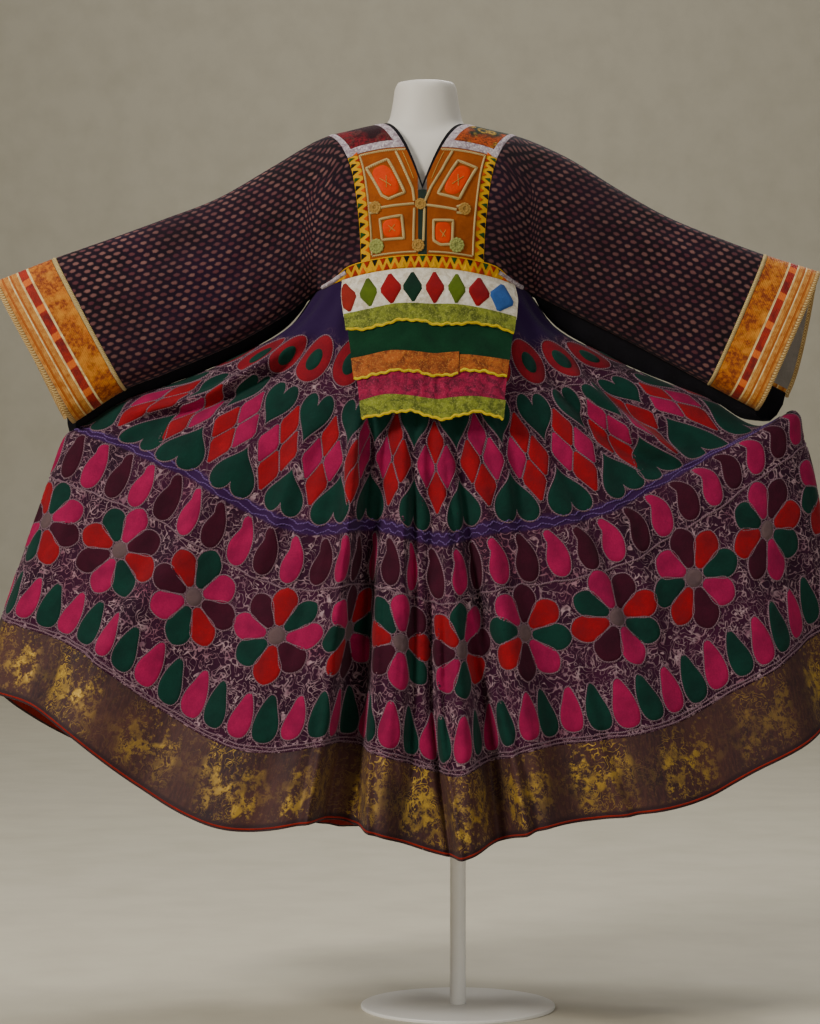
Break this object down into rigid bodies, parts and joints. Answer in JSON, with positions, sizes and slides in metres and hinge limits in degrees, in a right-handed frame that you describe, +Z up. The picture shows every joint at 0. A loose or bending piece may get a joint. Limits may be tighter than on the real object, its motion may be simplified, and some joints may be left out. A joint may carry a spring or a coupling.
{
  "type": "bridal dress on a dress form with a pole stand",
  "caption": "Long-sleeved patchwork bridal dress with a fanned, folded skirt and a banded apron, on a limbless dress form with a pole and a round base.",
  "frame": {"origin": "the centre of the base plate's underside, on the floor and on the pole's axis", "axes": "+Z up, the dress's front towards -Y, the wearer's right sleeve towards -X"},
  "size_m": [1.4408, 0.5984, 1.525],
  "materials": {
    "stand": "satin white paint",
    "form": "matte white shell",
    "dotted_cloth": "soft woven cloth with small printed dots",
    "gusset_cloth": "plain black cotton",
    "neck_piping": "plain black binding",
    "cuff_brocade": "striped brocade with a dull gold sheen",
    "cuff_cord": "rolled cream cord",
    "sleeve_lining": "plain grey-beige cotton",
    "bib_cloth": "patchwork cloth with corded outlines",
    "zigzag_trim": "printed cotton tape with small triangles",
    "silver_braid": "metallic braid, slightly shiny",
    "patch_maroon": "patterned cloth",
    "patch_green": "patterned cloth",
    "slit_cloth": "grey-green cotton strip",
    "rosette": "stitched round button",
    "apron_white": "off-white cotton with diamonds laid on",
    "apron_green": "dark green satin",
    "apron_crimson": "crimson satin, gathered",
    "ribbon_olive": "olive ribbon with a yellow scalloped edge",
    "ribbon_orange": "orange ribbon with a yellow edge",
    "skirt_cloth": "plum cloth, stitched all over, with appliqued motifs",
    "hem_brocade": "brown-purple brocade with worn gold",
    "hem_lining": "plain red cotton"
  },
  "bodies": {
    "root": {"apron_crimson": "apron_crimson", "apron_green": "apron_green", "apron_orange_left": "ribbon_orange", "apron_orange_right": "ribbon_orange", "apron_ribbon_low": "ribbon_olive", "apron_ribbon_top": "ribbon_olive", "apron_white": "apron_white", "bib_left": "bib_cloth", "bib_right": "bib_cloth", "bib_trim_left": "zigzag_trim", "bib_trim_right": "zigzag_trim", "bodice_back": "dotted_cloth", "cuff_edge_left": "cuff_cord", "cuff_edge_right": "cuff_cord", "cuff_facing_left": "sleeve_lining", "cuff_facing_right": "sleeve_lining", "cuff_left": "cuff_brocade", "cuff_piping_left": "cuff_cord", "cuff_piping_right": "cuff_cord", "cuff_right": "cuff_brocade", "dress_form": "form", "hem_border_1": "hem_brocade", "hem_border_2": "hem_brocade", "hem_border_3": "hem_brocade", "hem_border_4": "hem_brocade", "hem_facing": "hem_lining", "neck_binding": "neck_piping", "placket": "slit_cloth", "rosette_low_left": "rosette", "rosette_low_middle": "rosette", "rosette_low_right": "rosette", "rosette_neck": "rosette", "rosette_side_left": "rosette", "rosette_side_right": "rosette", "shoulder_braid_left": "silver_braid", "shoulder_braid_right": "silver_braid", "shoulder_patch_left": "patch_maroon", "shoulder_patch_right": "patch_green", "skirt_gore_1": "skirt_cloth", "skirt_gore_2": "skirt_cloth", "skirt_gore_3": "skirt_cloth", "skirt_gore_4": "skirt_cloth", "skirt_gore_5": "skirt_cloth", "skirt_gore_6": "skirt_cloth", "skirt_gore_7": "skirt_cloth", "skirt_gore_8": "skirt_cloth", "sleeve_left": "dotted_cloth", "sleeve_right": "dotted_cloth", "stand_base": "stand", "stand_pole": "stand", "underarm_left": "gusset_cloth", "underarm_right": "gusset_cloth", "waist_trim": "zigzag_trim"}
  },
  "joints": []
}
